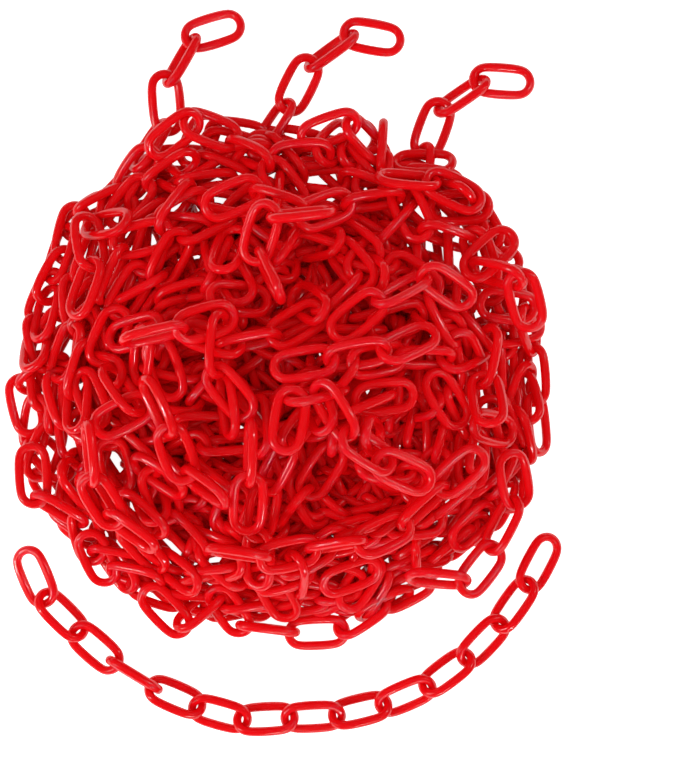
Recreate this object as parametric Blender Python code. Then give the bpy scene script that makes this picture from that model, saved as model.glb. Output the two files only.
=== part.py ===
# A heap of moulded plastic barrier chain: a tangled mound with three chain ends lying out of it,
# and a short cut length lying in an arc beside it. Metres, +Z up, on the floor at z = 0.
import math
import bpy
import bmesh
import numpy as np
from mathutils import Matrix, Vector
from mathutils.bvhtree import BVHTree

# One link
WIRE = 0.0075                 # thickness of the rod
LINK_LENGTH = 0.055           # outside length
LINK_WIDTH = 0.0295           # outside width
END_RADIUS = (LINK_WIDTH - WIRE) / 2
STRAIGHT = LINK_LENGTH - LINK_WIDTH
INNER_RADIUS = END_RADIUS - WIRE / 2
END_POINTS = 7                # points round each end of a separate link
FUSED_END_POINTS = 5          # and of a link in a fused strand
ROD_SIDES = 6
FUSED_WIRE = WIRE * math.sqrt(math.tau / ROD_SIDES / math.sin(math.tau / ROD_SIDES))  # same area as the round rod
SAMPLE_STEP = 0.003           # spacing of the points that test clearance

# How the chain lies
GAP = 0.0003                  # between separate solids
TOUCH = 0.0003                # added to a tested clearance, for the spacing of its points
SLACK = 0.0008                # play where separate links hang in one another
BITE = 0.0005                 # how far fused links run into one another
MOST_POCKET_FACES = 30        # of a pocket sealed in between fused rods
VIEW_HEIGHT = 1.2             # routes are drawn on the floor as they look from this high above
VIEW_CENTRE = (0.040, -0.015)
MIDDLE = (-0.00524, 0.0005)   # the middle of the whole lot's footprint, which becomes the origin
STEEPEST_FALL = -16           # degrees
STEEPEST_RISE = 50
TILT_STEP = 4
LIFTS = [0.006 * step for step in range(9)]    # how far above its rest a chain's first link may start
SWINGS = (0, 8, -8, 16, -16, 26, -26, 38, -38, 52, -52)    # degrees aside from the route
SEAT_DROP = 0.015             # the most that a strand is let down to seat it
MOST_LIFT = 0.003
LIFT_STEP = 0.0005

# The core
CORE_HEIGHT = 0.082
DOME_SEGMENTS = 40            # of the plain dome that the chain is laid on
DOME_RINGS = 14
CORE_SEGMENTS = 68            # of the core itself, which has hollows in that dome
CORE_RINGS = 52
CORE_PEAK = (0.025, -0.02)
CORE_POWER = 0.62
# the core's edge, in mm, every 20 degrees from +X anticlockwise
CORE_EDGE = [166, 170, 176, 172, 166, 160, 176, 180, 180, 184, 192, 188, 180, 184, 184, 170, 180, 172]
# lumps: place in mm, height in mm, spread in mm
CORE_LUMPS = [(60, -60, 20, 70), (-60, 70, 10, 60), (90, 70, 8, 50), (-90, -70, 6, 50), (10, 150, -8, 50)]
# ridges that cross like the rods of tangled links, with hollows between: heading in degrees and spacing
CORE_RIDGES = [(24, 0.037), (98, 0.044), (151, 0.062)]
HOLLOW_DEPTH = 0.018
CORE_SINK = 0.0006            # of the ridges below the plain dome
RIDGE_WANDER = 0.9            # radians by which a ridge wanders from its line
WANDER_LENGTH = 0.021

RED = (0.72, 0.004, 0.008, 1.0)

# Routes, in mm: the joints of each chain as seen from above, then each link's roll in degrees,
# where 0 shows its full face from above and 90 stands it on edge.
ARC = [(-216, -148), (-200, -186), (-172, -216), (-142, -239), (-109, -261), (-72, -276), (-35, -285),
       (5, -283), (45, -280), (85, -270), (121, -252), (153, -227), (178, -197), (199, -167), (216, -134)]
ARC_ROLLS = [12, -48, 12, 75, -45, 20, -40, 22, -42, 24, -46, 24, -47, 20]
TAILS = {
    "left_end": ([(-44, 284), (-77, 274), (-100, 240), (-97, 205), (-115, 176)], [5, 62, -12, 55]),
    "middle_end": ([(86, 269), (48, 276), (13, 256), (0, 219), (8, 190), (25, 172), (44, 144)],
                   [5, 62, -12, 52, -14, 58]),
    "right_end": ([(192, 236), (152, 239), (120, 218), (114, 189), (106, 160)], [5, 58, 2, 60]),
}
STRANDS = {
    "left_rim": ([(-211, -46), (-220, -8), (-190, 18), (-163, 45)], [5, 50, -20]),
    "lower_left_rim": ([(-206, -62), (-204, -98), (-184, -122), (-166, -156), (-130, -168), (-97, -182),
                        (-84, -146)], [3, 60, 10, 65, 20, 80]),
    "upper_left_rim": ([(-202, 62), (-186, 92), (-176, 125), (-145, 150), (-114, 178)], [40, -5, 72, 10]),
    "top_left_rim": ([(-112, 183), (-80, 208), (-43, 197), (-10, 180), (4, 142)], [40, -15, 60, -20]),
    "crest": ([(-66, 134), (-30, 150), (10, 156), (50, 152), (88, 128), (108, 98), (140, 82), (165, 55)],
              [10, 70, 5, 70, 10, 65, 30]),
    "left_shoulder": ([(-155, 62), (-139, 98), (-101, 109), (-60, 130)], [80, 10, 70]),
    "middle": ([(-130, 26), (-92, 35), (-56, 48), (-48, 12), (-37, -26)], [75, 10, -60, 20]),
    "front_link": ([(-33, -44), (-34, -83), (-37, -123)], [78, 0]),
    "saddle": ([(-10, 4), (30, 11), (70, 18), (106, 33)], [-25, 40, -30]),
    "lower_sweep": ([(-62, -142), (-22, -148), (15, -145), (55, -136), (92, -122), (126, -96), (150, -70)],
                    [75, 20, 75, -10, 65, 10]),
    "right_face": ([(178, -108), (180, -62), (165, -40), (135, -28)], [5, 70, 10]),
    "bottom_rim": ([(-117, -180), (-92, -206), (-66, -190), (-40, -212), (-2, -216), (34, -211), (66, -196),
                    (96, -177), (78, -136)], [10, -60, 20, 82, 10, -50, 20, 75]),
    "lower_right_rim": ([(100, -167), (137, -170), (165, -143), (184, -112), (176, -76)], [60, 10, -55, 15]),
    "right_rim": ([(204, -62), (200, -22), (197, 16), (172, 44), (136, 54)], [45, -30, 50, -10]),
    "upper_right_rim": ([(178, 112), (150, 86), (182, 82), (196, 46)], [10, 60, 15]),
    "top_rim": ([(12, 193), (40, 203), (58, 200), (73, 160)], [40, -40, 8]),
    "top_fan": ([(152, 140), (118, 157), (80, 156)], [15, 60]),
    "left_outer": ([(-176, 50), (-162, 88), (-144, 124), (-106, 128)], [-40, 35, -35]),
    "upper_middle": ([(30, 132), (-8, 128), (-24, 96), (-30, 60)], [75, 10, 80]),
    "right_shoulder": ([(38, 33), (68, 58), (98, 76), (132, 62)], [10, -60, 30]),
    "diagonal": ([(24, -12), (46, -48), (82, -72), (122, -94)], [40, -35, 5]),
    "centre_link": ([(2, -17), (-5, -60)], [5]),
    "left_inner": ([(-156, -44), (-120, -26), (-108, 16)], [5, 60]),
    "left_lower": ([(-118, -8), (-102, -42), (-90, -80), (-54, -104)], [60, 5, 60]),
    "left_face": ([(-168, -45), (-164, -84), (-148, -118), (-112, -146)], [70, 15, 60]),
    "right_inner": ([(164, 34), (156, -6), (160, -48)], [55, 5]),
    "lower_ring": ([(46, -190), (72, -150)], [20]),
}


def unit(vector):
    return vector / np.linalg.norm(vector)


def across(direction, roll):
    """The direction across a link's face, for a link that runs along direction."""
    flat = unit(np.cross((0, 0, 1), direction))
    angle = math.radians(roll)
    return math.cos(angle) * flat + math.sin(angle) * np.cross(direction, flat)


class Link:
    """A link's place: the centres of its two round ends, and the direction across its face."""

    def __init__(self, start, direction, roll):
        self.along = unit(direction)
        self.across = across(self.along, roll)
        self.move(start)

    def move(self, start):
        self.start = start
        self.end = start + STRAIGHT * self.along

    def points(self):
        """Points along the middle of the rod."""
        turns = np.linspace(-math.pi / 2, math.pi / 2, round(math.pi * END_RADIUS / SAMPLE_STEP) + 1)
        bow = END_RADIUS * np.cos(turns)[:, None] * self.along
        side = END_RADIUS * np.sin(turns)[:, None] * self.across
        steps = np.arange(SAMPLE_STEP, STRAIGHT, SAMPLE_STEP)[:, None] * self.along
        edge = END_RADIUS * self.across
        return np.vstack([self.end + bow + side, self.start - bow + side,
                          self.start + steps + edge, self.start + steps - edge])

    def matrix(self):
        middle = (self.start + self.end) / 2
        normal = np.cross(self.along, self.across)
        axes = Matrix((self.along, self.across, normal)).transposed()
        return Matrix.Translation(Vector(middle)) @ axes.to_4x4()


def nearest(points, others):
    """The shortest distance between two sets of points."""
    if not len(others):
        return math.inf
    low, high = points.min(axis=0) - 0.02, points.max(axis=0) + 0.02
    close = others[np.all((others > low) & (others < high), axis=1)]
    if not len(close):
        return math.inf
    return math.sqrt(((points[:, None, :] - close[None, :, :]) ** 2).sum(axis=2).min())


def joined(previous, direction, roll, slack):
    """The link that hangs in the previous link's end and runs along direction."""
    link = Link(np.zeros(3), direction, roll)
    pull = link.along
    hold = -previous.along
    in_previous = unit(pull.dot(previous.along) * previous.along + pull.dot(previous.across) * previous.across)
    in_link = unit(hold.dot(link.along) * link.along + hold.dot(link.across) * link.across)
    offset = (INNER_RADIUS - slack / 2) * (in_previous - in_link)
    reach = np.linalg.norm(offset)
    ring = previous.points()
    for _ in range(40):
        link.move(previous.end + offset)
        away = link.points()[:, None, :] - ring[None, :, :]
        lengths = np.linalg.norm(away, axis=2)
        closest = np.unravel_index(lengths.argmin(), lengths.shape)
        short = WIRE + slack - lengths[closest]
        if short <= 0:
            break
        offset = offset + away[closest] * short / lengths[closest]
        offset = offset * min(1, reach / np.linalg.norm(offset))
    return link


def is_clear(points, laid, ground):
    """Whether a rod along these points clears the floor, the core and the chain already laid."""
    if points[:, 2].min() < FUSED_WIRE / 2:
        return False
    if nearest(points, laid) < FUSED_WIRE:
        return False
    for point in points[::2]:
        place, normal, _, distance = ground.find_nearest(Vector(point))
        inside = (Vector(point) - place).dot(normal) < 0
        if inside or distance < FUSED_WIRE / 2 + GAP:
            return False
    return True


def on_floor(point, height):
    """A route's point, brought in towards the view's centre by its height."""
    centre = np.array(VIEW_CENTRE)
    return centre + (np.array((point[0], point[1])) * 0.001 - centre) * (1 - height / VIEW_HEIGHT)


def least_height(roll):
    """The lowest that the middle of a rolled link can be on the floor."""
    return END_RADIUS * abs(math.sin(math.radians(roll))) + FUSED_WIRE / 2


def lay_first(route, roll, lift, laid, ground):
    """The first link comes straight down until it meets something, or stays a little above it."""
    low, high = 0.0, 0.25
    for _ in range(16):
        height = (low + high) / 2
        first, second = on_floor(route[0], height), on_floor(route[1], height)
        heading = unit(second - first)
        direction = np.array((*heading, 0.0))
        start = np.array((*first, height)) + INNER_RADIUS * direction
        link = Link(start, direction, roll)
        if is_clear(link.points(), laid, ground):
            high, best = height, link
        else:
            low = height
    best.move(best.start + (0, 0, lift))
    return best


def lay_next(previous, target, roll, least, slack, laid, ground):
    """Each further link falls about its joint until it meets something, and turns aside if it must."""
    joint = previous.end + INNER_RADIUS * previous.along
    aim = on_floor(target, joint[2]) - joint[:2]
    heading = math.atan2(aim[1], aim[0])

    def at(swing, tilt):
        turn, rise = heading + math.radians(swing), math.radians(tilt)
        direction = (math.cos(rise) * math.cos(turn), math.cos(rise) * math.sin(turn), math.sin(rise))
        link = joined(previous, np.array(direction), roll, slack)
        if link.end[2] < least or nearest(link.points(), previous.points()) < WIRE + slack - TOUCH:
            return None
        return link if is_clear(link.points(), laid, ground) else None

    for swing in SWINGS:
        for tilt in range(STEEPEST_FALL, STEEPEST_RISE, TILT_STEP):
            link = at(swing, tilt)
            if link:
                return settled(link, lambda lower: at(swing, tilt - lower))
    return None


def settled(link, lowered):
    """Lets a link down as far as it goes within one step of the tilt."""
    clear, blocked = 0.0, TILT_STEP
    for _ in range(5):
        middle = (clear + blocked) / 2
        trial = lowered(middle)
        if trial:
            clear, link = middle, trial
        else:
            blocked = middle
    return link


def lay_chain(route, rolls, slack, laid, ground):
    """Lays one chain along its route, link by link, starting higher where the way is blocked."""
    longest = []
    room = [least_height(roll) for roll in rolls[1:] + [0]]
    for lift in LIFTS:
        links = [lay_first(route, rolls[0], lift, laid, ground)]
        rise = room[0] - links[0].end[2]
        links[0].move(links[0].start + (0, 0, max(0.0, rise)))
        for target, roll, least in zip(route[2:], rolls[1:], room[1:]):
            others = [laid] + [link.points() for link in links[:-1]]
            link = lay_next(links[-1], target, roll, least, slack, np.vstack(others), ground)
            if not link:
                break
            links.append(link)
        if len(links) == len(rolls):
            return links
        longest = max(longest, links, key=len)
    print("a chain ends early, after", len(longest), "of", len(rolls))
    return longest


def link_mesh(name, thickness, end_points):
    """One link as a ring of rod, lying in its own XY plane along X."""
    curve = bpy.data.curves.new(name, "CURVE")
    curve.dimensions = "3D"
    curve.bevel_depth = thickness / 2
    curve.bevel_resolution = 1
    turns = [math.pi * (step / (end_points - 1) - 0.5) for step in range(end_points)]
    ends = [(1, turn) for turn in turns] + [(-1, turn) for turn in turns]
    spline = curve.splines.new("POLY")
    spline.points.add(len(ends) - 1)
    spline.use_cyclic_u = True
    for point, (side, turn) in zip(spline.points, ends):
        x = side * (STRAIGHT / 2 + END_RADIUS * math.cos(turn))
        y = side * END_RADIUS * math.sin(turn)
        point.co = (x, y, 0, 1)
    holder = bpy.data.objects.new(name, curve)
    bpy.context.scene.collection.objects.link(holder)
    bpy.context.view_layer.update()
    mesh = bpy.data.meshes.new_from_object(holder.evaluated_get(bpy.context.evaluated_depsgraph_get()))
    mesh.name = name
    bpy.data.objects.remove(holder)
    return mesh


def plastic(name):
    material = bpy.data.materials.new(name)
    material.use_nodes = True
    shader = material.node_tree.nodes["Principled BSDF"]
    shader.inputs["Base Color"].default_value = RED
    shader.inputs["Roughness"].default_value = 0.22
    shader.inputs["Metallic"].default_value = 0.0
    return material


def core_reach(angle):
    """The core's edge at an angle, eased between the stated places."""
    place = math.degrees(angle) % 360 / 20
    step = int(place) % len(CORE_EDGE)
    ease = (1 - math.cos(math.pi * (place - int(place)))) / 2
    return 0.001 * (CORE_EDGE[step] * (1 - ease) + CORE_EDGE[(step + 1) % len(CORE_EDGE)] * ease)


def core_height(x, y, share):
    """The dome's height at a place whose distance out is this share of the edge's."""
    dome = CORE_HEIGHT * max(0.0, 1 - share * share) ** CORE_POWER
    lumps = 0.0
    for lump_x, lump_y, height, spread in CORE_LUMPS:
        away = math.hypot(x - lump_x * 0.001, y - lump_y * 0.001) / (spread * 0.001)
        lumps += height * 0.001 * math.exp(-away * away)
    return dome + lumps * (1 - share ** 6)


def hollow(x, y):
    """How much of the full depth a hollow has at a place; 0 on a ridge."""
    ridge = 0.0
    for heading, spacing in CORE_RIDGES:
        turn = math.radians(heading)
        aside = y * math.cos(turn) - x * math.sin(turn)
        along = x * math.cos(turn) + y * math.sin(turn)
        wander = RIDGE_WANDER * math.sin(along / WANDER_LENGTH + heading)
        ridge = max(ridge, abs(math.cos(math.pi * aside / spacing + wander)))
    return 1 - ridge ** 2


def hollowed_height(x, y, share):
    """The core's height at a place: the dome's, less its hollows."""
    top = core_height(x, y, share)
    return top - min(CORE_SINK + HOLLOW_DEPTH * hollow(x, y), top / 2) * (1 - share ** 8)


def half_ball(segments, rings, height_at):
    """The upper half of a ball, drawn out to the core's edge and heights, and its rim."""
    core = bmesh.new()
    bmesh.ops.create_uvsphere(core, u_segments=segments, v_segments=rings, radius=1.0)
    everything = core.verts[:] + core.edges[:] + core.faces[:]
    cut = bmesh.ops.bisect_plane(core, geom=everything, plane_co=(0, 0, 0), plane_no=(0, 0, -1),
                                 clear_outer=True, dist=0.0001)
    rim = [item for item in cut["geom_cut"] if isinstance(item, bmesh.types.BMEdge)]
    for vert in core.verts:
        share = math.hypot(vert.co.x, vert.co.y)
        angle = math.atan2(vert.co.y, vert.co.x)
        reach = core_reach(angle) * share
        inward = 1 - share
        x = reach * math.cos(angle) + CORE_PEAK[0] * inward
        y = reach * math.sin(angle) + CORE_PEAK[1] * inward
        height = height_at(x, y, share) if vert.co.z > 0.0001 else 0.0
        vert.co = (x, y, height)
    return core, rim


def make_core(collection):
    """The hidden inside of the mound, as one hollowed dome with a flat underside."""
    dome, _ = half_ball(DOME_SEGMENTS, DOME_RINGS, core_height)
    ground = BVHTree.FromBMesh(dome)
    dome.free()
    mesh = bpy.data.meshes.new("heap_core")
    core, rim = half_ball(CORE_SEGMENTS, CORE_RINGS, hollowed_height)
    bmesh.ops.contextual_create(core, geom=rim)
    bmesh.ops.recalc_face_normals(core, faces=core.faces[:])
    core.to_mesh(mesh)
    core.free()
    return finished("heap_core", mesh, collection), ground


def finished(name, mesh, collection):
    """An object with its own material, shaded smooth."""
    obj = bpy.data.objects.new(name, mesh)
    collection.objects.link(obj)
    obj.data.materials.clear()
    obj.data.materials.append(plastic(name + "_plastic"))
    obj.data.shade_smooth()
    obj.data.set_sharp_from_angle(angle=math.radians(50))
    return obj


def joined_rings(name, links, pattern):
    """Rings that do not touch one another, in one mesh."""
    rings = bmesh.new()
    for link in links:
        mesh = pattern.copy()
        mesh.transform(link.matrix())
        rings.from_mesh(mesh)
        bpy.data.meshes.remove(mesh)
    mesh = bpy.data.meshes.new(name)
    rings.to_mesh(mesh)
    rings.free()
    return mesh


def islands(shape):
    """The groups of faces of a bmesh that hang together."""
    left = set(shape.faces)
    groups = []
    while left:
        group = [left.pop()]
        for face in group:
            for edge in face.edges:
                for neighbour in edge.link_faces:
                    if neighbour in left:
                        left.remove(neighbour)
                        group.append(neighbour)
        groups.append(group)
    return sorted(groups, key=len)


def outer_shell(name, mesh):
    """Drops the tiny sealed pockets that can stay where two rods cross."""
    shape = bmesh.new()
    shape.from_mesh(mesh)
    for pocket in islands(shape)[:-1]:
        if len(pocket) > MOST_POCKET_FACES:
            print(f"{name} has a link that hangs free")
        bmesh.ops.delete(shape, geom=pocket, context="FACES")
    shape.to_mesh(mesh)
    shape.free()


def make_strand(name, links, pattern, collection, cutters):
    """A run of links fused where they hang in one another, so that it is one solid."""
    strand = bpy.data.objects.new(name, joined_rings(name, links[::2], pattern))
    others = bpy.data.objects.new(name + "_others", joined_rings(name + "_others", links[1::2], pattern))
    for obj in (strand, others):
        obj.hide_render = True
        obj.display_type = "WIRE"
        cutters.objects.link(obj)
    union = strand.modifiers.new("fuse", "BOOLEAN")
    union.operation = "UNION"
    union.object = others
    bpy.context.view_layer.update()
    fused = strand.evaluated_get(bpy.context.evaluated_depsgraph_get())
    mesh = bpy.data.meshes.new_from_object(fused)
    outer_shell(name, mesh)
    return finished("strand_" + name, mesh, collection)


def solid_tree(objects):
    """One search tree over the faces of several objects."""
    shape = bmesh.new()
    for obj in objects:
        mesh = obj.data.copy()
        mesh.transform(obj.matrix_world)
        shape.from_mesh(mesh)
        bpy.data.meshes.remove(mesh)
    tree = BVHTree.FromBMesh(shape)
    shape.free()
    return tree


def seat(strand, others):
    """Moves a strand down, or up, until it lies its gap above the chain or the core that carries it."""
    around = solid_tree(others)
    start = strand.location.z

    def meets(drop):
        strand.location.z = start - drop - GAP
        bpy.context.view_layer.update()
        return bool(around.overlap(solid_tree([strand])))

    free, met = 0.0, min(SEAT_DROP, min(vert.co.z for vert in strand.data.vertices))
    while meets(free) and free > -MOST_LIFT:
        free, met = free - LIFT_STEP, free
    for _ in range(7):
        drop = (free + met) / 2
        if meets(drop):
            met = drop
        else:
            free = drop
    strand.location.z = start - free
    bpy.context.view_layer.update()


def make_loose(name, links, pattern, collection):
    """Separate links that hang in one another with a fine gap."""
    for number, link in enumerate(links, 1):
        obj = finished(f"{name}_link_{number:02d}", pattern.copy(), collection)
        obj.matrix_world = link.matrix()


def main():
    for obj in list(bpy.data.objects):
        bpy.data.objects.remove(obj)
    parts = bpy.data.collections.new("barrier_chain_heap")
    cutters = bpy.data.collections.new("cutters")
    bpy.context.scene.collection.children.link(parts)
    bpy.context.scene.collection.children.link(cutters)
    core, ground = make_core(parts)
    loose_pattern = link_mesh("link", WIRE, END_POINTS)
    fused_pattern = link_mesh("fused_link", FUSED_WIRE, FUSED_END_POINTS)
    laid = np.zeros((0, 3))

    for name, (route, rolls) in {"cut_length": (ARC, ARC_ROLLS), **TAILS}.items():
        links = lay_chain(route, rolls, SLACK, laid, ground)
        laid = np.vstack([laid] + [link.points() for link in links])
        make_loose(name, links, loose_pattern, parts)
    for name, (route, rolls) in STRANDS.items():
        links = lay_chain(route, rolls, -BITE, laid, ground)
        laid = np.vstack([laid] + [link.points() for link in links])
        make_strand(name, links, fused_pattern, parts, cutters)
    bpy.context.view_layer.update()
    for strand in [obj for obj in parts.objects if obj.name.startswith("strand_")]:
        seat(strand, [obj for obj in parts.objects if obj != strand])
    for obj in parts.objects:
        obj.location.x -= MIDDLE[0]
        obj.location.y -= MIDDLE[1]


main()
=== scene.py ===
import math
import time
import bmesh
import bpy
import numpy as np
from mathutils import Matrix, Vector
from mathutils.bvhtree import BVHTree


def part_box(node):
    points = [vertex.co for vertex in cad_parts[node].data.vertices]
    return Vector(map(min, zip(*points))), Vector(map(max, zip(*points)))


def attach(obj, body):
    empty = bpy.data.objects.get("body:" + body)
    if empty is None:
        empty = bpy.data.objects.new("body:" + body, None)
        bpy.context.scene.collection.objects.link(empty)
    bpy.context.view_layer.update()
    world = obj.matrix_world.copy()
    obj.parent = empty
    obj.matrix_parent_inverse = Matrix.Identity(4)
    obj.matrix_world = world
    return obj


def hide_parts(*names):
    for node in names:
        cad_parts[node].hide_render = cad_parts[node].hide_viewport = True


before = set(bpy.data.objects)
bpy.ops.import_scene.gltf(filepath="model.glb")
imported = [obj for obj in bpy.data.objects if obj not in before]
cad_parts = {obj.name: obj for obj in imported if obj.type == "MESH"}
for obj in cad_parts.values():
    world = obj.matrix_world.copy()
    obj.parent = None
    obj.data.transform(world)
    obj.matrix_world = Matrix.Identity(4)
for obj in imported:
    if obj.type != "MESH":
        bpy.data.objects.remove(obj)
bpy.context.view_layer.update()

startTime = time.time()

# one link of moulded barrier chain, in metres
link = {"rod": 0.0075, "length": 0.055, "width": 0.0295, "endSteps": 5, "smoothing": 2,
        "cageReach": 1.53, "cageWiden": 1.02, "uvReach": 0.1}   # the cage is larger than the link inside it
endRadius = (link["width"] - link["rod"]) / 2
straight = link["length"] - link["width"]
innerRadius = endRadius - link["rod"] / 2
rodSides = 6
fusedRod = link["rod"] * math.sqrt(math.tau / rodSides / math.sin(math.tau / rodSides))

# how the chain lies, as the solid part lays it: gaps and heights in metres, swings and tilts in degrees
laying = {"step": 0.003, "gap": 0.0003, "touch": 0.0003, "slack": 0.0008, "bite": 0.0005, "near": 0.02,
          "fall": -16, "rise": 50, "tilt": 4, "lifts": [0.006 * count for count in range(9)],
          "highest": 0.25, "halvings": 16, "lowerings": 5, "pushes": 40,
          "swings": (0, 8, -8, 16, -16, 26, -26, 38, -38, 52, -52),
          "viewHeight": 1.2, "viewCentre": (0.040, -0.015), "middle": (-0.00524, 0.0005)}

# the mound's inner body, which the upper chain lies on; its edge and lumps in mm
mound = {"height": 0.082, "segments": 40, "rings": 14, "peak": (0.025, -0.02), "power": 0.62,
         "edge": [166, 170, 176, 172, 166, 160, 176, 180, 180, 184, 192, 188, 180, 184, 184, 170, 180, 172],
         "lumps": [(60, -60, 20, 70), (-60, 70, 10, 60), (90, 70, 8, 50), (-90, -70, 6, 50),
                   (10, 150, -8, 50)]}
edgeTurn = 20   # degrees from one of the edge's distances to the next

# joints of each chain in mm as seen from above, then each link's roll in degrees
cutLength = ([(-216, -148), (-200, -186), (-172, -216), (-142, -239), (-109, -261), (-72, -276),
              (-35, -285), (5, -283), (45, -280), (85, -270), (121, -252), (153, -227), (178, -197),
              (199, -167), (216, -134)],
             [12, -48, 12, 75, -45, 20, -40, 22, -42, 24, -46, 24, -47, 20])
tails = {
    "left_end": ([(-44, 284), (-77, 274), (-100, 240), (-97, 205), (-115, 176)], [5, 62, -12, 55]),
    "middle_end": ([(86, 269), (48, 276), (13, 256), (0, 219), (8, 190), (25, 172), (44, 144)],
                   [5, 62, -12, 52, -14, 58]),
    "right_end": ([(192, 236), (152, 239), (120, 218), (114, 189), (106, 160)], [5, 58, 2, 60]),
}
strands = {
    "left_rim": ([(-211, -46), (-220, -8), (-190, 18), (-163, 45)], [5, 50, -20]),
    "lower_left_rim": ([(-206, -62), (-204, -98), (-184, -122), (-166, -156), (-130, -168), (-97, -182),
                        (-84, -146)], [3, 60, 10, 65, 20, 80]),
    "upper_left_rim": ([(-202, 62), (-186, 92), (-176, 125), (-145, 150), (-114, 178)], [40, -5, 72, 10]),
    "top_left_rim": ([(-112, 183), (-80, 208), (-43, 197), (-10, 180), (4, 142)], [40, -15, 60, -20]),
    "crest": ([(-66, 134), (-30, 150), (10, 156), (50, 152), (88, 128), (108, 98), (140, 82), (165, 55)],
              [10, 70, 5, 70, 10, 65, 30]),
    "left_shoulder": ([(-155, 62), (-139, 98), (-101, 109), (-60, 130)], [80, 10, 70]),
    "middle": ([(-130, 26), (-92, 35), (-56, 48), (-48, 12), (-37, -26)], [75, 10, -60, 20]),
    "front_link": ([(-33, -44), (-34, -83), (-37, -123)], [78, 0]),
    "saddle": ([(-10, 4), (30, 11), (70, 18), (106, 33)], [-25, 40, -30]),
    "lower_sweep": ([(-62, -142), (-22, -148), (15, -145), (55, -136), (92, -122), (126, -96), (150, -70)],
                    [75, 20, 75, -10, 65, 10]),
    "right_face": ([(178, -108), (180, -62), (165, -40), (135, -28)], [5, 70, 10]),
    "bottom_rim": ([(-117, -180), (-92, -206), (-66, -190), (-40, -212), (-2, -216), (34, -211), (66, -196),
                    (96, -177), (78, -136)], [10, -60, 20, 82, 10, -50, 20, 75]),
    "lower_right_rim": ([(100, -167), (137, -170), (165, -143), (184, -112), (176, -76)], [60, 10, -55, 15]),
    "right_rim": ([(204, -62), (200, -22), (197, 16), (172, 44), (136, 54)], [45, -30, 50, -10]),
    "upper_right_rim": ([(178, 112), (150, 86), (182, 82), (196, 46)], [10, 60, 15]),
    "top_rim": ([(12, 193), (40, 203), (58, 200), (73, 160)], [40, -40, 8]),
    "top_fan": ([(152, 140), (118, 157), (80, 156)], [15, 60]),
    "left_outer": ([(-176, 50), (-162, 88), (-144, 124), (-106, 128)], [-40, 35, -35]),
    "upper_middle": ([(30, 132), (-8, 128), (-24, 96), (-30, 60)], [75, 10, 80]),
    "right_shoulder": ([(38, 33), (68, 58), (98, 76), (132, 62)], [10, -60, 30]),
    "diagonal": ([(24, -12), (46, -48), (82, -72), (122, -94)], [40, -35, 5]),
    "centre_link": ([(2, -17), (-5, -60)], [5]),
    "left_inner": ([(-156, -44), (-120, -26), (-108, 16)], [5, 60]),
    "left_lower": ([(-118, -8), (-102, -42), (-90, -80), (-54, -104)], [60, 5, 60]),
    "left_face": ([(-168, -45), (-164, -84), (-148, -118), (-112, -146)], [70, 15, 60]),
    "right_inner": ([(164, 34), (156, -6), (160, -48)], [55, 5]),
    "lower_ring": ([(46, -190), (72, -150)], [20]),
}

# further links that the photo shows between those, which the solid part leaves out
between = [
    ([(-118, 167), (-80, 170)], [70]), ([(-150, 128), (-118, 155)], [50]), ([(-60, 182), (-20, 184)], [70]),
    ([(-8, 176), (25, 182)], [40]), ([(26, 174), (44, 203)], [30]), ([(48, 171), (62, 204)], [25]),
    ([(68, 169), (80, 200)], [25]), ([(-76, 206), (-78, 178)], [20]), ([(-64, 198), (-27, 192)], [60]),
    ([(-66, 186), (-32, 188)], [75]), ([(187, -32), (192, -68)], [60]), ([(192, -5), (188, -36)], [50]),
    ([(180, 80), (192, 52)], [75]), ([(122, 156), (148, 145)], [60]), ([(60, -196), (92, -178)], [50]),
    ([(5, 118), (-10, 100)], [80]), ([(-53, 118), (-49, 90), (-50, 66)], [10, 75]),
    ([(-62, 58), (-25, 69)], [10]),
    ([(10, 110), (40, 103), (65, 76)], [20, 60]), ([(45, 122), (64, 94), (72, 68)], [10, 75]),
    ([(-212, 36), (-206, 6)], [20]), ([(-207, 58), (-199, 40)], [0]), ([(-150, 35), (-115, 32)], [80]),
    ([(-135, 30), (-112, 0)], [60]), ([(-168, 10), (-145, -6)], [40]), ([(-108, 23), (-104, -16)], [70]),
    ([(-180, -5), (-172, -42)], [20]), ([(-170, -2), (-163, -40)], [70]), ([(-178, -78), (-182, -112)], [60]),
    ([(-35, -28), (-20, -58)], [40]), ([(-62, -12), (-44, -42)], [80]), ([(5, -14), (40, -38)], [60]),
    ([(8, 68), (22, 45)], [80]), ([(50, -30), (75, -22)], [80]), ([(60, -42), (75, -60)], [80]),
    ([(119, 132), (158, 139)], [10]), ([(90, 178), (128, 169)], [10]), ([(166, 38), (203, 34)], [10]),
    ([(162, -40), (148, -76)], [75]), ([(131, 29), (156, -2)], [20]), ([(116, -5), (140, -37)], [60]),
    ([(-127, -76), (-90, -91)], [30]), ([(-138, -132), (-107, -158)], [30]),
    ([(-138, -104), (-109, -129)], [80]),
    ([(-70, -158), (-46, -156)], [0]), ([(-22, -168), (0, -199)], [25]), ([(-9, -152), (15, -182)], [60]),
    ([(142, -126), (160, -124)], [0]), ([(-1, -18), (38, -16)], [75]), ([(61, -25), (94, -14)], [80]),
    ([(-147, -163), (-107, -170)], [60]), ([(-110, -163), (-78, -164), (-48, -162)], [20, 75]),
    ([(-170, -134), (-150, -168)], [60]), ([(22, -158), (54, -178)], [30]),
    ([(-152, -58), (-140, -96)], [20]), ([(-170, -88), (-152, -122)], [25]),
    ([(-126, -86), (-108, -120)], [35]), ([(30, -172), (66, -160)], [60]),
]


def unit(vector):
    return vector / np.linalg.norm(vector)


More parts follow.
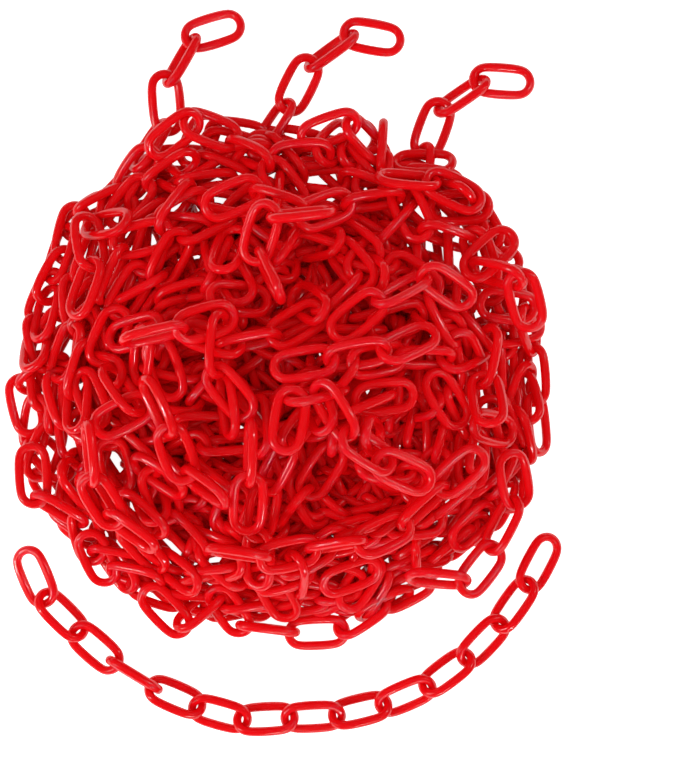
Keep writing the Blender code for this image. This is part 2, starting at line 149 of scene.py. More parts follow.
def acrossFace(direction, roll):
    # the way across a link's face: at roll 0 the link lies flat, at 90 it stands on edge
    flat = unit(np.cross((0, 0, 1), direction))
    angle = math.radians(roll)
    return math.cos(angle) * flat + math.sin(angle) * np.cross(direction, flat)


def turned(direction, roll):
    # a link's own axes, from the way that it runs and its roll
    across = acrossFace(direction, roll)
    return np.stack([direction, across, np.cross(direction, across)], axis=1)


class LaidLink:
    def __init__(self, start, direction, roll):
        self.along = unit(direction)
        self.across = acrossFace(self.along, roll)
        self.move(start)

    def move(self, start):
        self.start = start
        self.end = start + straight * self.along

    def points(self):
        steps = round(math.pi * endRadius / laying["step"]) + 1
        turns = np.linspace(-math.pi / 2, math.pi / 2, steps)
        bow = endRadius * np.cos(turns)[:, None] * self.along
        side = endRadius * np.sin(turns)[:, None] * self.across
        run = np.arange(laying["step"], straight, laying["step"])[:, None] * self.along
        edge = endRadius * self.across
        return np.vstack([self.end + bow + side, self.start - bow + side,
                          self.start + run + edge, self.start + run - edge])


def nearest(points, others):
    if not len(others):
        return math.inf
    low, high = points.min(axis=0) - laying["near"], points.max(axis=0) + laying["near"]
    close = others[np.all((others > low) & (others < high), axis=1)]
    if not len(close):
        return math.inf
    return math.sqrt(((points[:, None, :] - close[None, :, :]) ** 2).sum(axis=2).min())


def hungIn(previous, direction, roll, slack):
    # the link that hangs in the previous link's end
    hung = LaidLink(np.zeros(3), direction, roll)
    pull, hold = hung.along, -previous.along
    inPrevious = unit(pull.dot(previous.along) * previous.along
                      + pull.dot(previous.across) * previous.across)
    inHung = unit(hold.dot(hung.along) * hung.along + hold.dot(hung.across) * hung.across)
    offset = (innerRadius - slack / 2) * (inPrevious - inHung)
    reach = np.linalg.norm(offset)
    ring = previous.points()
    for _ in range(laying["pushes"]):
        hung.move(previous.end + offset)
        away = hung.points()[:, None, :] - ring[None, :, :]
        lengths = np.linalg.norm(away, axis=2)
        closest = np.unravel_index(lengths.argmin(), lengths.shape)
        short = link["rod"] + slack - lengths[closest]
        if short <= 0:
            break
        offset = offset + away[closest] * short / lengths[closest]
        offset = offset * min(1, reach / np.linalg.norm(offset))
    return hung


def isClear(points, laid, ground):
    # whether a link stays off the floor, the chain already laid and the inner body
    if points[:, 2].min() < fusedRod / 2:
        return False
    if nearest(points, laid) < fusedRod:
        return False
    for point in points[::2]:
        place, normal, _, distance = ground.find_nearest(Vector(point))
        inside = (Vector(point) - place).dot(normal) < 0
        if inside or distance < fusedRod / 2 + laying["gap"]:
            return False
    return True


def onFloor(point, height):
    # where a place that the camera sees on the floor, in mm, lies at a height
    centre = np.array(laying["viewCentre"])
    return centre + (np.array((point[0], point[1])) * 0.001 - centre) * (1 - height / laying["viewHeight"])


def leastHeight(roll):
    return endRadius * abs(math.sin(math.radians(roll))) + fusedRod / 2


def layFirst(route, roll, lift, laid, ground):
    low, high = 0.0, laying["highest"]
    for _ in range(laying["halvings"]):
        height = (low + high) / 2
        first, second = onFloor(route[0], height), onFloor(route[1], height)
        direction = np.array((*unit(second - first), 0.0))
        start = np.array((*first, height)) + innerRadius * direction
        trial = LaidLink(start, direction, roll)
        if isClear(trial.points(), laid, ground):
            high, best = height, trial
        else:
            low = height
    best.move(best.start + (0, 0, lift))
    return best


def layNext(previous, target, roll, least, slack, laid, ground):
    joint = previous.end + innerRadius * previous.along
    aim = onFloor(target, joint[2]) - joint[:2]
    heading = math.atan2(aim[1], aim[0])

    def at(swing, tilt):
        turn, rise = heading + math.radians(swing), math.radians(tilt)
        direction = (math.cos(rise) * math.cos(turn), math.cos(rise) * math.sin(turn), math.sin(rise))
        trial = hungIn(previous, np.array(direction), roll, slack)
        tooNear = nearest(trial.points(), previous.points()) < link["rod"] + slack - laying["touch"]
        if trial.end[2] < least or tooNear:
            return None
        return trial if isClear(trial.points(), laid, ground) else None

    for swing in laying["swings"]:
        for tilt in range(laying["fall"], laying["rise"], laying["tilt"]):
            found = at(swing, tilt)
            if found:
                return letDown(found, lambda lower: at(swing, tilt - lower))
    return None


def letDown(found, lowered):
    # tilts a link further down as long as it stays clear
    clear, blocked = 0.0, laying["tilt"]
    for _ in range(laying["lowerings"]):
        middle = (clear + blocked) / 2
        trial = lowered(middle)
        if trial:
            clear, found = middle, trial
        else:
            blocked = middle
    return found


def layChain(route, rolls, slack, laid, ground):
    # starts a little higher each time until every link finds room
    longest = []
    room = [leastHeight(roll) for roll in rolls[1:] + [0]]
    for lift in laying["lifts"]:
        links = [layFirst(route, rolls[0], lift, laid, ground)]
        rise = room[0] - links[0].end[2]
        links[0].move(links[0].start + (0, 0, max(0.0, rise)))
        for target, roll, least in zip(route[2:], rolls[1:], room[1:]):
            others = [laid] + [one.points() for one in links[:-1]]
            found = layNext(links[-1], target, roll, least, slack, np.vstack(others), ground)
            if not found:
                break
            links.append(found)
        if len(links) == len(rolls):
            return links
        longest = max(longest, links, key=len)
    return longest


def moundReach(angle):
    place = math.degrees(angle) % 360 / edgeTurn
    step = int(place) % len(mound["edge"])
    ease = (1 - math.cos(math.pi * (place - int(place)))) / 2
    return 0.001 * (mound["edge"][step] * (1 - ease)
                    + mound["edge"][(step + 1) % len(mound["edge"])] * ease)


def moundHeight(x, y, share):
    dome = mound["height"] * max(0.0, 1 - share * share) ** mound["power"]
    lumps = 0.0
    for lumpX, lumpY, height, spread in mound["lumps"]:
        away = math.hypot(x - lumpX * 0.001, y - lumpY * 0.001) / (spread * 0.001)
        lumps += height * 0.001 * math.exp(-away * away)
    return dome + lumps * (1 - share ** 6)


def moundTree():
    core = bmesh.new()
    bmesh.ops.create_uvsphere(core, u_segments=mound["segments"], v_segments=mound["rings"], radius=1.0)
    bmesh.ops.bisect_plane(core, geom=core.verts[:] + core.edges[:] + core.faces[:], plane_co=(0, 0, 0),
                           plane_no=(0, 0, -1), clear_outer=True, dist=0.0001)
    for vert in core.verts:
        share = math.hypot(vert.co.x, vert.co.y)
        angle = math.atan2(vert.co.y, vert.co.x)
        reach = moundReach(angle) * share
        x = reach * math.cos(angle) + mound["peak"][0] * (1 - share)
        y = reach * math.sin(angle) + mound["peak"][1] * (1 - share)
        height = moundHeight(x, y, share) if vert.co.z > 0.0001 else 0.0
        vert.co = (x, y, height)
    tree = BVHTree.FromBMesh(core)
    core.free()
    return tree


def axesOf(one):
    return np.stack([one.along, one.across, np.cross(one.along, one.across)], axis=1)


# lay the chain that the photo shows, in the order of the solid part
ground = moundTree()
laid = np.zeros((0, 3))
chains = {}
for name, (route, rolls) in {"cut_length": cutLength, **tails}.items():
    chains[name] = layChain(route, rolls, laying["slack"], laid, ground)
    laid = np.vstack([laid] + [one.points() for one in chains[name]])
for name, (route, rolls) in strands.items():
    chains[name] = layChain(route, rolls, -laying["bite"], laid, ground)
    laid = np.vstack([laid] + [one.points() for one in chains[name]])
print("chain laid", round(time.time() - startTime, 1))

# move each strand to the height at which the solid one was seated
for name in strands:
    lowest = min(one.points()[:, 2].min() for one in chains[name]) - fusedRod / 2
    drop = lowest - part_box("strand_" + name)[0][2]
    for one in chains[name]:
        one.move(one.start - (0, 0, drop))


# fill the mound beneath with chain whose links are pushed apart; lengths in metres
filling = {
    # chains at each level, a share of the mound's height, between two shares of its edge
    "seed": 11, "links": 30, "levels": [0.7, 0.93, 0.66, 0.42], "chains": [4, 2, 3, 2],
    "shares": [(0.92, 1.17), (0, 1.0), (0, 0.9), (0, 0.72)],
    # how a chain wanders
    "pitch": 0.040, "wander": 0.5, "rollSpread": 22, "within": 0.97, "least": 0.006,
    "tries": 40, "widen": 0.12,
    # how high the links may reach: at the rim, and up to what lies over them
    "lift": 0.012, "rimHeight": 0.05, "rimShare": 1.22, "rimSlope": 0.3, "farthest": 1.4,
    "cell": 0.008, "cells": 70, "carryReach": 0.016, "mostRise": 0.05,
    # where the links that the photo shows start, and how firmly they keep their place
    "viewedAt": 0.08, "above": 0.004, "lowest": 0.012, "hold": 0.05,
    # links strewn deep inside, which close the view to the floor
    "deepLinks": 420, "deepWidth": 0.36, "deepShare": 0.85, "deepSpread": (1, 1, 0.4),
    "deepFloor": 0.018, "deepRoom": 0.002, "deepTop": 0.5,
    # points along each rod, rounds of pushing, and the distance that rods are pushed to
    "samples": 28, "steps": 240, "thick": 0.0079,
}
settling = {
    # pairs of points are looked up this near to each other, every few rounds
    "pairReach": 0.0115, "pairEvery": 3,
    # how far and how eagerly links move in a round
    "mostPush": 0.002, "gain": 0.7, "calm": 2.0, "floorPush": 0.004, "roofPush": 0.5,
    "roofGap": 0.001, "roofLeast": 0.010, "inward": 0.002, "inwardAt": 0.18,
    # how a hung link follows its neighbour, and what counts as a cut in the printed line
    "pull": 0.6, "turn": 0.4, "deep": 0.0014,
}
topEdge = np.array(mound["edge"] + mound["edge"][:1]) * 0.001
ridges = {"lines": [(24, 0.037), (98, 0.044), (151, 0.062)], "depth": 0.018, "wander": 0.9, "length": 0.021}


def hollow(x, y):
    # how deep a hollow between the crossing ridges is at each place, as in the solid core
    ridge = np.zeros_like(x)
    for heading, spacing in ridges["lines"]:
        turn = math.radians(heading)
        aside = y * math.cos(turn) - x * math.sin(turn)
        along = x * math.cos(turn) + y * math.sin(turn)
        wander = ridges["wander"] * np.sin(along / ridges["length"] + heading)
        ridge = np.maximum(ridge, np.abs(np.cos(math.pi * aside / spacing + wander)))
    return 1 - ridge ** 2


def roomUnder(rods):
    # over a grid of cells: how high the lowest rod of the upper chain lies over each; 0 where there is none
    at = (np.arange(filling["cells"]) - filling["cells"] / 2 + 0.5) * filling["cell"]
    room = np.zeros((filling["cells"], filling["cells"]))
    for row, x in enumerate(at):
        strip = rods[np.abs(rods[:, 0] - x) < filling["carryReach"]]
        for column, y in enumerate(at):
            over = strip[np.hypot(strip[:, 0] - x, strip[:, 1] - y) < filling["carryReach"], 2]
            room[row, column] = over.min() - link["rod"] if len(over) else 0
    return room


upperRods = np.vstack([one.points() for name in strands for one in chains[name]])
roomGrid = roomUnder(upperRods)


def moundTop(x, y):
    # height of the mound over many places at once, and how far out each is as a share of the edge
    share = np.zeros_like(x)
    for _ in range(4):   # the share shifts the centre that it is measured from
        outX, outY = x - mound["peak"][0] * (1 - share), y - mound["peak"][1] * (1 - share)
        angle = np.degrees(np.arctan2(outY, outX)) % 360
        edge = np.interp(angle / edgeTurn, np.arange(len(topEdge)), topEdge)
        share = np.minimum(np.hypot(outX, outY) / edge, filling["farthest"])
    dome = mound["height"] * np.maximum(0.0, 1 - share * share) ** mound["power"]
    lumps = sum(height * 0.001 * np.exp(-((x - lumpX * 0.001) ** 2 + (y - lumpY * 0.001) ** 2)
                                        / (spread * 0.001) ** 2)
                for lumpX, lumpY, height, spread in mound["lumps"])
    rim = filling["rimHeight"] * np.clip((filling["rimShare"] - share) / filling["rimSlope"], 0.0, 1.0)
    top = dome + (lumps + filling["lift"]) * np.maximum(0.0, 1 - share ** 6)
    top -= np.minimum(ridges["depth"] * hollow(x, y), top / 2) * np.maximum(0.0, 1 - share ** 8)
    top = np.maximum(top, rim)
    # the chain beneath reaches up to whatever lies over it
    cells = filling["cells"]
    row = np.clip((x / filling["cell"] + cells / 2).astype(int), 0, cells - 1)
    column = np.clip((y / filling["cell"] + cells / 2).astype(int), 0, cells - 1)
    return np.maximum(top, np.minimum(roomGrid[row, column], top + filling["mostRise"])), share


def ringSamples(count):
    # points along the middle of a link's rod, in its own frame
    run = 2 * straight + math.tau * endRadius
    half = straight + math.pi * endRadius
    points = []
    for step in range(count):
        at = (step + 0.5) * run / count
        side, at = (1, at) if at < half else (-1, at - half)
        if at < straight:
            points.append((side * (at - straight / 2), side * endRadius, 0))
        else:
            turn = (at - straight) / endRadius
            reach = straight / 2 + endRadius * math.sin(turn)
            points.append((side * reach, side * endRadius * math.cos(turn), 0))
    return np.array(points)


def nearPairs(points, owner, free, reach):
    cell = np.floor(points / reach).astype(np.int64)
    cell -= cell.min(axis=0) - 1
    size = cell.max(axis=0) + 2
    key = (cell[:, 0] * size[1] + cell[:, 1]) * size[2] + cell[:, 2]
    order = np.argsort(key, kind="stable")
    ordered = key[order]
    firsts, seconds = [], []
    ahead = [(0, 0, 0), (0, 0, 1), (0, 1, -1), (0, 1, 0), (0, 1, 1)]
    ahead += [(1, a, b) for a in (-1, 0, 1) for b in (-1, 0, 1)]
    for offset in ahead:
        shift = (offset[0] * size[1] + offset[1]) * size[2] + offset[2]
        low = np.searchsorted(ordered, key + shift, "left")
        count = np.searchsorted(ordered, key + shift, "right") - low
        first = np.repeat(np.arange(len(points)), count)
        second = order[np.repeat(low - np.cumsum(count) + count, count) + np.arange(len(first))]
        keep = (owner[first] != owner[second]) & (free[first] | free[second])
        if offset == (0, 0, 0):
            keep &= first < second
        first, second = first[keep], second[keep]
        keep = ((points[first] - points[second]) ** 2).sum(axis=1) < reach * reach
        firsts.append(first[keep])
        seconds.append(second[keep])
    return np.concatenate(firsts), np.concatenate(seconds)


def summed(index, values, count):
    return np.stack([np.bincount(index, values[:, axis], count) for axis in range(3)], axis=1)


def randomChain(random, length, level, shares):
    # a wandering chain at one level of the mound, between two shares of its edge
    least, most = shares
    angle = random.random() * math.tau
    out = math.sqrt(least ** 2 + random.random() * (most ** 2 - least ** 2)) * filling["within"]
    place = np.array((math.cos(angle), math.sin(angle))) * out * moundReach(angle)
    heading, roll = random.random() * math.tau, random.random() * 180
    made = []
    for _ in range(length):
        turn = random.normal(0, filling["wander"])
        for attempt in range(filling["tries"]):
            there = place + filling["pitch"] * np.array((math.cos(heading + turn), math.sin(heading + turn)))
            if least < moundTop(there[:1], there[1:])[1][0] < most:
                break
            turn = random.normal(0, filling["wander"]) + random.choice((-1, 1)) * attempt * filling["widen"]
        heading += turn
        heights = [moundTop(spot[:1], spot[1:])[0][0] * level for spot in (place, there)]
        first, second = (np.array((*spot, max(height, filling["least"])))
                         for spot, height in zip((place, there), heights))
        made.append(((first + second) / 2, turned(unit(second - first), roll)))
        roll += 90 + random.normal(0, filling["rollSpread"])
        place = there
    return made


def placedLinks(route, rolls):
    # links between stated joints, tilted as far as they look short, just above the mound
    made = []
    for first, second, roll in zip(route, route[1:], rolls):
        middle = onFloor((np.array(first) + second) / 2, filling["viewedAt"])
        height = moundTop(middle[:1], middle[1:])[0][0]
        start, end = onFloor(first, height), onFloor(second, height)
        flat = end - start
        run = min(np.linalg.norm(flat) / (straight + 2 * innerRadius), 1.0)
        ends = [moundTop(spot[:1], spot[1:])[0][0] for spot in (start, end)]
        rise = math.copysign(math.sqrt(1 - run * run), ends[1] - ends[0])
        centre = np.array((*((start + end) / 2), max(height + filling["above"], filling["lowest"])))
        made.append((centre, turned(np.array((*(unit(flat) * run), rise)), roll)))
    return made


def settle(centres, axes, fixed, hung, held, samples, steps, thick):
    # pushes links apart, keeps hung ones together and all of them inside the mound
    count, ring = len(centres), ringSamples(samples)
    owner, free = np.repeat(np.arange(count), samples), np.repeat(~fixed, samples)
    loose = np.flatnonzero(~fixed)
    firstLink, firstSide, secondLink, secondSide = hung.T
    hungReach = 2 * endRadius - link["rod"]
    homes = centres[held, :2].copy()
    roaming = np.ones(count, bool)
    roaming[held] = False
    roaming = np.repeat(roaming, samples)
    for step in range(steps):
        points = (centres[:, None, :] + np.einsum("nij,mj->nmi", axes, ring)).reshape(-1, 3)
        if step % settling["pairEvery"] == 0:
            first, second = nearPairs(points, owner, free, settling["pairReach"])
            share = np.where(free[first] & free[second], 0.5, 1.0)[:, None]
        # points of two links that are too near push each other away
        away = points[first] - points[second]
        apart = np.sqrt((away * away).sum(axis=1)) + 1e-9
        hit = apart < thick
        depth = np.minimum(thick - apart[hit], settling["mostPush"])
        push = away[hit] * (depth / apart[hit])[:, None] * share[hit]
        a, b = first[hit], second[hit]
        total = summed(a, push, len(points)) - summed(b, push, len(points))
        touches = np.bincount(a, minlength=len(points)) + np.bincount(b, minlength=len(points))
        # the mound's top, the floor and the rim hold them in
        top, out = moundTop(points[:, 0], points[:, 1])
        roof = np.maximum(top - settling["roofGap"], settling["roofLeast"])
        over = np.maximum(points[:, 2] - roof, 0)
        under = np.maximum(link["rod"] / 2 - points[:, 2], 0)
        total[:, 2] += (np.minimum(under, settling["floorPush"])
                        - np.minimum(over, settling["mostPush"]) * settling["roofPush"])
        outside = (out > filling["rimShare"]) & roaming
        inward = settling["inward"] * points[:, :2] / settling["inwardAt"]
        total[:, :2] -= np.where(outside[:, None], inward, 0)
        touches = touches + (over > 0) + (under > 0) + outside
        total[~free] = 0
        perLink = np.bincount(owner, touches, count)
        gain = settling["gain"] * samples / (perLink + settling["calm"])
        moved = points.reshape(count, samples, 3) + total.reshape(count, samples, 3) * gain[:, None, None]
        # each link takes the place and turn that fit its pushed points best
        target = moved[loose]
        middle = target.mean(axis=1)
        spread = np.einsum("nmi,mj->nij", target - middle[:, None], ring) + 1e-9 * axes[loose]
        left, _, right = np.linalg.svd(spread)
        left[:, :, 2] *= np.sign(np.linalg.det(left @ right))[:, None]
        axes[loose], centres[loose] = left @ right, middle
        centres[held, :2] += filling["hold"] * (homes - centres[held, :2])
        # hung ends come back within reach of each other
        endA = centres[firstLink] + (firstSide * straight / 2)[:, None] * axes[firstLink, :, 0]
        endB = centres[secondLink] + (secondSide * straight / 2)[:, None] * axes[secondLink, :, 0]
        pull = endB - endA
        far = np.linalg.norm(pull, axis=1) + 1e-9
        pull *= (np.maximum(far - hungReach, 0) / far)[:, None]
        for links, sides, sign in ((firstLink, firstSide, 0.5), (secondLink, secondSide, -0.5)):
            np.add.at(centres, links, settling["pull"] * sign * pull * (~fixed[links])[:, None])
            arm = (sides * straight / 2)[:, None] * axes[links, :, 0]
            turn = np.cross(arm, settling["turn"] * sign * pull) / (arm * arm).sum(axis=1)[:, None]
            spin = summed(links, turn, count) * (~fixed)[:, None]
            axes += np.cross(spin[:, None, :], axes.transpose(0, 2, 1)).transpose(0, 2, 1)
        axes[:, :, 0] /= np.linalg.norm(axes[:, :, 0], axis=1)[:, None]
        axes[:, :, 1] -= (axes[:, :, 1] * axes[:, :, 0]).sum(axis=1)[:, None] * axes[:, :, 0]
        axes[:, :, 1] /= np.linalg.norm(axes[:, :, 1], axis=1)[:, None]
        axes[:, :, 2] = np.cross(axes[:, :, 0], axes[:, :, 1])
    left = int((thick - apart[hit] > settling["deep"]).sum())
    print("  of", count, "links with", len(points), "points, pairs of points that still cut in:", left)
    return centres, axes


def fillMound():
    random = np.random.default_rng(filling["seed"])
    outer = [one for name in list(tails) + list(strands) for one in chains[name]]
    centres = [(one.start + one.end) / 2 for one in outer]
    axes = [axesOf(one) for one in outer]
    fixed, hung, held = [True] * len(outer), [], []
    for route, rolls in between:
        for number, (centre, frameAxes) in enumerate(placedLinks(route, rolls)):
            if number:
                hung.append((len(centres) - 1, 1, len(centres), -1))
            held.append(len(centres))
            centres.append(centre)
            axes.append(frameAxes)
            fixed.append(False)
    for level, shares, chainCount in zip(filling["levels"], filling["shares"], filling["chains"]):
        for _ in range(chainCount):
            strung = randomChain(random, filling["links"], level, shares)
            for number, (centre, frameAxes) in enumerate(strung):
                if number:
                    hung.append((len(centres) - 1, 1, len(centres), -1))
                centres.append(centre)
                axes.append(frameAxes)
                fixed.append(False)
    centres, axes = settle(*(np.array(values) for values in (centres, axes, fixed, hung, held)),
                           filling["samples"], filling["steps"], filling["thick"])
    deep = []
    while len(deep) < filling["deepLinks"]:
        spot = (random.random(2) - 0.5) * filling["deepWidth"]
        top, share = moundTop(spot[:1], spot[1:])
        if share[0] < filling["deepShare"]:
            frameAxes = turned(unit(random.normal(size=3) * filling["deepSpread"]), random.random() * 180)
            room = max(filling["deepRoom"], top[0] * filling["deepTop"] - filling["deepFloor"])
            height = filling["deepFloor"] + random.random() * room
            deep.append((np.array((*spot, height)), frameAxes))
    return list(zip(centres[len(outer):], axes[len(outer):])), deep


def offFloor(places):
    # lifts what still reaches below the floor
    ring = ringSamples(filling["samples"])
    for centre, frameAxes in places:
        centre[2] += max(0.0, link["rod"] / 2 - (centre[2] + (frameAxes @ ring.T)[2].min()))


fillLinks, deepLinks = fillMound()
offFloor(fillLinks + deepLinks)
hidden = filling["chains"][-1] * filling["links"]   # the lowest chains are seen only through the others
fillLinks, deepLinks = fillLinks[:-hidden], fillLinks[-hidden:] + deepLinks
print("mound filled", len(fillLinks), round(time.time() - startTime, 1))


def linkCage():
    # four-sided rod, spun round one end, drawn along the side, spun round the other and drawn back
    cage = bmesh.new()
    halfWidth = endRadius * link["cageWiden"]
    bmesh.ops.create_circle(cage, segments=4, radius=link["rod"] / 2 * link["cageReach"])
    bmesh.ops.rotate(cage, verts=cage.verts[:], matrix=Matrix.Rotation(math.pi / 2, 3, "Y"))
    bmesh.ops.translate(cage, verts=cage.verts[:], vec=(straight / 2, -halfWidth, 0))
    ringEdges = cage.edges[:]
    for side in (1, -1):
        spun = bmesh.ops.spin(cage, geom=ringEdges, cent=(side * straight / 2, 0, 0), axis=(0, 0, 1),
                              angle=math.pi, steps=link["endSteps"], use_merge=False, use_duplicate=False)
        last = [item for item in spun["geom_last"] if isinstance(item, bmesh.types.BMEdge)]
        drawn = bmesh.ops.extrude_edge_only(cage, edges=last)
        verts = [item for item in drawn["geom"] if isinstance(item, bmesh.types.BMVert)]
        bmesh.ops.translate(cage, verts=verts, vec=(-side * straight, 0, 0))
        ringEdges = [item for item in drawn["geom"] if isinstance(item, bmesh.types.BMEdge)
                     and all(vert in verts for vert in item.verts)]
    bmesh.ops.remove_doubles(cage, verts=cage.verts[:], dist=0.0001)
    bmesh.ops.recalc_face_normals(cage, faces=cage.faces[:])
    # the UV map: u across the link, v once round the rod
    def turnOf(spot):
        return math.atan2(spot.z, math.hypot(max(0, abs(spot.x) - straight / 2), spot.y) - halfWidth)

    layer = cage.loops.layers.uv.new("rod")
    for face in cage.faces:
        centre = face.calc_center_median()
        for loop in face.loops:
            spot = loop.vert.co
            side = 1 if centre.x > 0 else -1
            around, middle = turnOf(spot), turnOf(centre)
            around += math.tau * round((middle - around) / math.tau)
            loop[layer].uv = (side * spot.y / link["uvReach"], around / math.tau)
        face.smooth = True
    mesh = bpy.data.meshes.new("linkCage")
    cage.to_mesh(mesh)
    cage.free()
    return mesh


def linkPiece(name, places, cage, finish, levels, random):
    # many links in one mesh, each with its own tone
    heap = bmesh.new()
    for centre, frameAxes in places:
        shape = cage.copy()
        spot = centre - (*laying["middle"], 0)
        shape.transform(Matrix.Translation(Vector(spot)) @ Matrix(frameAxes.tolist()).to_4x4())
        heap.from_mesh(shape)
        bpy.data.meshes.remove(shape)
    mesh = bpy.data.meshes.new(name)
    heap.to_mesh(mesh)
    heap.free()
    tone = mesh.attributes.new("linkTone", "FLOAT", "POINT")
    tones = np.repeat(random.random(len(places)), len(cage.vertices))
    tone.data.foreach_set("value", tones.astype(np.float32))
    mesh.materials.append(finish)
    piece = bpy.data.objects.new(name, mesh)
    bpy.context.scene.collection.objects.link(piece)
    smooth = piece.modifiers.new("rounded", "SUBSURF")
    smooth.levels = smooth.render_levels = levels
    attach(piece, "root")
    return piece


def hexColour(text):
    # an sRGB colour as the linear one that the shader takes
    parts = [int(text[at:at + 2], 16) / 255 for at in (1, 3, 5)]
    linear = [part / 12.92 if part <= 0.04045 else ((part + 0.055) / 1.055) ** 2.4 for part in parts]
    return (*linear, 1.0)


def addNode(tree, kind, settings=None, inputs=None):
    node = tree.nodes.new(kind)
    for key, value in (settings or {}).items():
        setattr(node, key, value)
    for key, value in (inputs or {}).items():
        if isinstance(value, bpy.types.NodeSocket):
            tree.links.new(value, node.inputs[key])
        else:
            node.inputs[key].default_value = value
    return node


# injection-moulded polyethylene, dyed through: glossy and a little waxy, with thin highlights along the rods
# and a glow where light comes through them
plastic = {"base": "#f4040b", "deep": "#e80308", "roughness": 0.1, "smoother": 0.05, "rougher": 0.08,
           "ior": 1.5, "specular": 0.4, "glow": 0.5, "glowMm": 6, "glowColours": (1.0, 0.08, 0.08),
           "rippleMm": 9, "rippleShare": 0.5, "grainMm": 0.7, "grainShare": 0.15,
           "lineWidth": 0.012, "bump": 0.35, "bumpMm": 0.2, "toneSeed": 5}


def mouldedPlastic():
    material = bpy.data.materials.new("mouldedRedPolyethylene")
    material.use_nodes = True
    tree = material.node_tree
    shader = tree.nodes["Principled BSDF"]
    shader.inputs["IOR"].default_value = plastic["ior"]
    shader.inputs["Specular IOR Level"].default_value = plastic["specular"]
    shader.inputs["Subsurface Weight"].default_value = plastic["glow"]
    shader.inputs["Subsurface Radius"].default_value = plastic["glowColours"]
    shader.inputs["Subsurface Scale"].default_value = plastic["glowMm"] / 1000
    place = addNode(tree, "ShaderNodeTexCoord")
    tone = addNode(tree, "ShaderNodeAttribute", {"attribute_name": "linkTone"})
    ripple = addNode(tree, "ShaderNodeTexNoise", None, {"Vector": place.outputs["Object"],
                                                       "Scale": 1000 / plastic["rippleMm"], "Detail": 2.0})
    mixed = addNode(tree, "ShaderNodeMath", {"operation": "MULTIPLY_ADD"},
                    {0: ripple.outputs["Fac"], 1: plastic["rippleShare"], 2: tone.outputs["Fac"]})
    colour = addNode(tree, "ShaderNodeValToRGB", None, {"Fac": mixed.outputs["Value"]})
    colour.color_ramp.elements[0].color = hexColour(plastic["deep"])
    colour.color_ramp.elements[1].color = hexColour(plastic["base"])
    tree.links.new(colour.outputs["Color"], shader.inputs["Base Color"])
    rough = addNode(tree, "ShaderNodeMapRange", None,
                    {"Value": ripple.outputs["Fac"], "To Min": plastic["roughness"] - plastic["smoother"],
                     "To Max": plastic["roughness"] + plastic["rougher"]})
    tree.links.new(rough.outputs["Result"], shader.inputs["Roughness"])
    grain = addNode(tree, "ShaderNodeTexNoise", None, {"Vector": place.outputs["Object"],
                                                      "Scale": 1000 / plastic["grainMm"], "Detail": 1.0})
    uv = addNode(tree, "ShaderNodeSeparateXYZ", None, {"Vector": place.outputs["UV"]})
    # the mould's parting line runs round the link's outside and inside, half a turn apart on the rod
    line = addNode(tree, "ShaderNodeMath", {"operation": "PINGPONG"}, {0: uv.outputs["Y"], 1: 0.25})
    ridge = addNode(tree, "ShaderNodeMapRange", None,
                    {"Value": line.outputs["Value"], "From Min": 0.0, "From Max": plastic["lineWidth"],
                     "To Min": 1.0, "To Max": 0.0})
    height = addNode(tree, "ShaderNodeMath", {"operation": "MULTIPLY_ADD"},
                     {0: grain.outputs["Fac"], 1: plastic["grainShare"], 2: ridge.outputs["Result"]})
    bump = addNode(tree, "ShaderNodeBump", None,
                   {"Height": height.outputs["Value"], "Strength": plastic["bump"],
                    "Distance": plastic["bumpMm"] / 1000})
    tree.links.new(bump.outputs["Normal"], shader.inputs["Normal"])
    return material


finish = mouldedPlastic()
cage = linkCage()
toneRandom = np.random.default_rng(plastic["toneSeed"])


def placesOf(names):
    return [((one.start + one.end) / 2, axesOf(one)) for name in names for one in chains[name]]


nodeNames = list(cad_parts)
arc = linkPiece("cutLengthLinks", placesOf(["cut_length"]), cage, finish, link["smoothing"], toneRandom)
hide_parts(*[node for node in nodeNames if node.startswith("cut_length_link")])
for name in tails:
    pieceName = name.split("_")[0] + "EndLinks"
    tail = linkPiece(pieceName, placesOf([name]), cage, finish, link["smoothing"], toneRandom)
    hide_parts(*[node for node in nodeNames if node.startswith(name + "_link")])
upper = linkPiece("upperMoundLinks", placesOf(strands), cage, finish, link["smoothing"], toneRandom)
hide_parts(*[node for node in nodeNames if node.startswith("strand_")])
perPiece = 125   # keeps each piece under its limit of triangles
for number, start in enumerate(range(0, len(fillLinks), perPiece), 1):
    linkPiece(f"innerMoundLinks{number}", fillLinks[start:start + perPiece], cage, finish,
                                 link["smoothing"], toneRandom)
linkPiece("deepMoundLinks", deepLinks, cage, finish, 1, toneRandom)
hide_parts("heap_core")
bpy.data.meshes.remove(cage)
print("links made", round(time.time() - startTime, 1))

# pale floor, soft studio light, and a camera straight above the place that the photo centres on
studio = {"floor": "#f6f6f6", "floorSize": 4.0, "floorRoughness": 0.9, "floorSpecular": 0.1,
          "floorGlow": 0.16, "floorSeen": 0.97, "ambient": 0.42, "seenInGloss": 0.04, "gamma": 1.2}
sheet = bmesh.new()
bmesh.ops.create_grid(sheet, x_segments=1, y_segments=1, size=studio["floorSize"])
floorMesh = bpy.data.meshes.new("studioFloor")
sheet.to_mesh(floorMesh)
sheet.free()
floor = bpy.data.objects.new("studioFloor", floorMesh)
bpy.context.scene.collection.objects.link(floor)
paper = bpy.data.materials.new("matPaperFloor")
paper.use_nodes = True
paperShader = paper.node_tree.nodes["Principled BSDF"]
paperShader.inputs["Base Color"].default_value = hexColour(studio["floor"])
paperShader.inputs["Roughness"].default_value = studio["floorRoughness"]
paperShader.inputs["Specular IOR Level"].default_value = studio["floorSpecular"]
paperShader.inputs["Emission Color"].default_value = (1, 1, 1, 1)
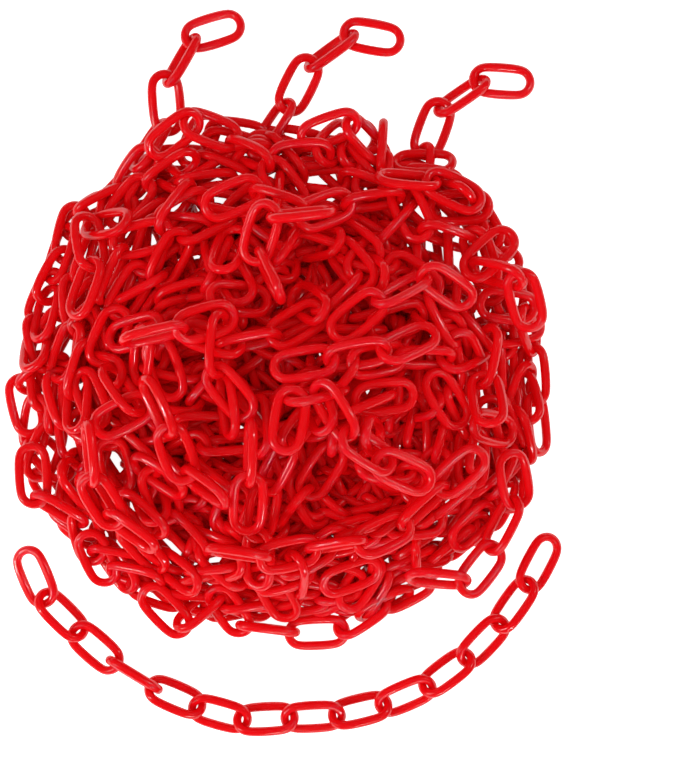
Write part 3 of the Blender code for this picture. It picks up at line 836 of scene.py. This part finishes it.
# lit evenly from within, as a light table is, and so bright that it shows no shadows
ray = addNode(paper.node_tree, "ShaderNodeLightPath")
glow = addNode(paper.node_tree, "ShaderNodeMapRange", None,
               {"Value": ray.outputs["Is Camera Ray"], "To Min": studio["floorGlow"],
                "To Max": studio["floorSeen"]})
paper.node_tree.links.new(glow.outputs["Result"], paperShader.inputs["Emission Strength"])
floorMesh.materials.append(paper)

world = bpy.data.worlds.new("studioAir")
world.use_nodes = True
air = world.node_tree.nodes["Background"]
air.inputs["Color"].default_value = (1, 1, 1, 1)
ray = addNode(world.node_tree, "ShaderNodeLightPath")
strength = addNode(world.node_tree, "ShaderNodeMapRange", None,
                   {"Value": ray.outputs["Is Glossy Ray"], "To Min": studio["ambient"],
                    "To Max": studio["seenInGloss"]})
world.node_tree.links.new(strength.outputs["Result"], air.inputs["Strength"])
bpy.context.scene.world = world


def softLight(name, place, aim, size, watts, inGloss):
    lamp = bpy.data.lights.new(name, "AREA")
    lamp.shape = "RECTANGLE"
    lamp.size, lamp.size_y = size
    lamp.energy = watts
    holder = bpy.data.objects.new(name, lamp)
    holder.location = place
    holder.rotation_euler = (Vector(aim) - Vector(place)).to_track_quat("-Z", "Y").to_euler()
    holder.visible_glossy = inGloss
    bpy.context.scene.collection.objects.link(holder)


# place, what it points at, size, watts, and whether it shows in the gloss
lamps = {
    "overheadSoftbox": ((-0.3, 0.5, 1.9), (0, 0, 0), (1.2, 0.8), 2.8, False),
    "leftStrip": ((-1.1, -0.5, 0.9), (0, 0, 0.05), (0.03, 0.8), 7.5, True),
    "frontStrip": ((0.4, -1.3, 0.9), (0, 0, 0.05), (0.8, 0.03), 5.5, True),
    "rightStrip": ((1.2, 0.4, 1.1), (0, 0, 0.05), (0.03, 0.7), 3, True),
}
for name, settings in lamps.items():
    softLight(name, *settings)

photo = {"pixelMm": 0.82, "pixels": 680, "centre": (0.0403, -0.0148), "sensor": 36}
view = bpy.data.cameras.new("photoView")
view.sensor_fit = "HORIZONTAL"
view.sensor_width = photo["sensor"]
frameWidth = photo["pixelMm"] * photo["pixels"] / 1000   # the photo's width on the floor
view.lens = photo["sensor"] * laying["viewHeight"] / frameWidth
photoView = bpy.data.objects.new("photoView", view)
photoView.location = (photo["centre"][0] - laying["middle"][0], photo["centre"][1] - laying["middle"][1],
                      laying["viewHeight"])
bpy.context.scene.collection.objects.link(photoView)
bpy.context.scene.camera = photoView
bpy.context.scene.view_settings.view_transform = "Standard"
bpy.context.scene.view_settings.gamma = studio["gamma"]

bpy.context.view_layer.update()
print("scene ready", round(time.time() - startTime, 1))
